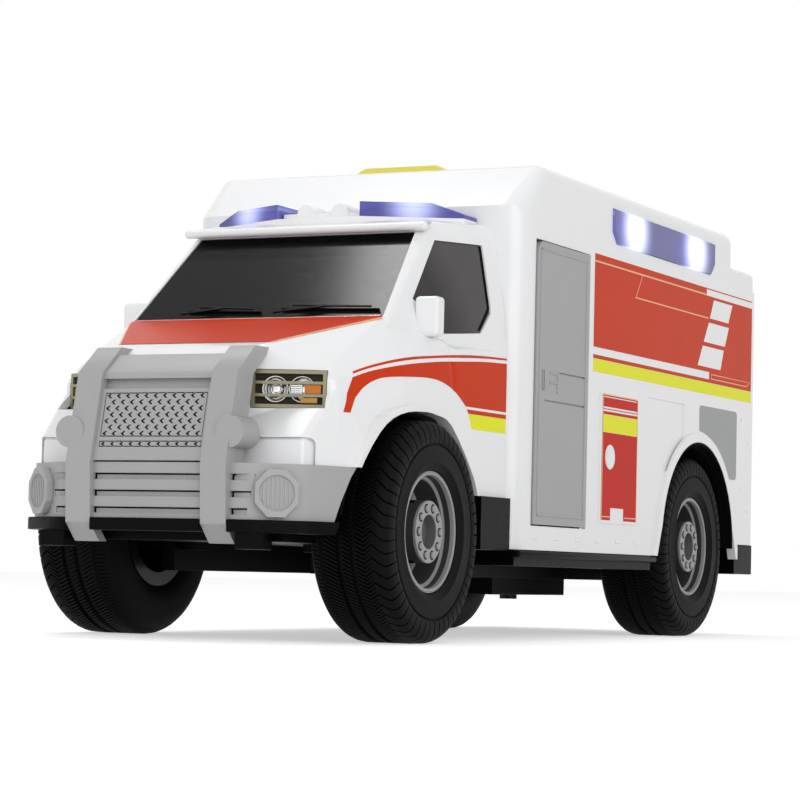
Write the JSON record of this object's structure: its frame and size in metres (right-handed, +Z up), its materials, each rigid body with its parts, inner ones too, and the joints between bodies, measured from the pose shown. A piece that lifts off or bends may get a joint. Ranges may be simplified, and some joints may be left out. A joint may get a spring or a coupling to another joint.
{
  "type": "toy ambulance",
  "caption": "Toy box-body ambulance with bull bar, light bar, free-rolling axles, hinged side and rear doors and a roof push button for lights and sound.",
  "frame": {"origin": "middle of the vehicle on the ground under the tyres", "axes": "+Z up, -Y towards the front of the vehicle, +X towards its left side, where the side door is"},
  "size_m": [0.105, 0.304, 0.1346],
  "materials": {
    "body_white": "gloss",
    "trim_grey": "satin",
    "chassis_black": "satin",
    "tyre_black": "matte",
    "rim_grey": "satin",
    "steel": "brushed",
    "cell_case": "printed sleeve",
    "window_smoke": "polished",
    "lamp_gold": "metallised",
    "lens_blue": "clear tinted",
    "led_white": "clear",
    "button_yellow": "gloss",
    "board_green": "solder resist",
    "speaker_grey": "matte",
    "lamp_red": "clear tinted"
  },
  "bodies": {
    "base": {"chassis": "chassis_black", "battery_cover": "chassis_black", "battery_cells": "cell_case", "battery_contacts": "steel", "battery_cover_screw": "steel", "assembly_screws": "steel", "cab_shell": "body_white", "windscreen": "window_smoke", "side_window_left": "window_smoke", "side_window_right": "window_smoke", "wipers": "chassis_black", "mirror_left": "body_white", "mirror_right": "body_white", "headlight_left": "lamp_gold", "headlight_right": "lamp_gold", "bumper": "trim_grey", "fog_lamps": "trim_grey", "bull_bar": "trim_grey", "grille": "trim_grey", "front_skid": "chassis_black", "light_bar_base": "body_white", "light_bar_lens_left": "lens_blue", "light_bar_lens_right": "lens_blue", "bulkhead": "body_white", "box_left_panel": "body_white", "box_right_panel": "body_white", "box_roof": "body_white", "rear_frame": "body_white", "cargo_floor": "trim_grey", "side_door_pin": "steel", "rear_door_pins": "steel", "side_lens_left": "lens_blue", "side_lens_right": "lens_blue", "leds": "led_white", "circuit_board": "board_green", "button_switch": "speaker_grey", "board_screws": "steel", "speaker": "speaker_grey", "rear_bumper": "chassis_black", "tail_lamps": "lamp_red"},
    "front_wheels": {"front_axle": "steel", "front_left_rim": "rim_grey", "front_right_rim": "rim_grey", "front_left_tyre": "tyre_black", "front_right_tyre": "tyre_black"},
    "rear_wheels": {"rear_axle": "steel", "rear_left_rim": "rim_grey", "rear_right_rim": "rim_grey", "rear_left_tyre": "tyre_black", "rear_right_tyre": "tyre_black"},
    "side_door": {"side_door": "trim_grey"},
    "rear_door_left": {"rear_door_left": "body_white"},
    "rear_door_right": {"rear_door_right": "body_white"},
    "roof_button": {"roof_button": "button_yellow"}
  },
  "joints": [
    {"name": "front_axle_spin", "type": "hinge", "parent": "base", "child": "front_wheels", "pos_m": [0, -0.0947, 0.0282], "axis": [1, 0, 0], "continuous": true},
    {"name": "rear_axle_spin", "type": "hinge", "parent": "base", "child": "rear_wheels", "pos_m": [0, 0.0963, 0.0282], "axis": [1, 0, 0], "continuous": true},
    {"name": "side_door_hinge", "type": "hinge", "parent": "base", "child": "side_door", "pos_m": [0.0507, 0.0018, 0.07], "axis": [0, 0, 1], "range_deg": [0, 100]},
    {"name": "rear_door_left_hinge", "type": "hinge", "parent": "base", "child": "rear_door_left", "pos_m": [0.0426, 0.1484, 0.07], "axis": [0, 0, -1], "range_deg": [0, 105]},
    {"name": "rear_door_right_hinge", "type": "hinge", "parent": "base", "child": "rear_door_right", "pos_m": [-0.0426, 0.1484, 0.07], "axis": [0, 0, 1], "range_deg": [0, 105]},
    {"name": "roof_button_press", "type": "slide", "parent": "base", "child": "roof_button", "axis": [0, 0, 1], "range_m": [-0.0016, 0], "stiffness_N_per_m": 600, "springref_m": 0.0004}
  ]
}
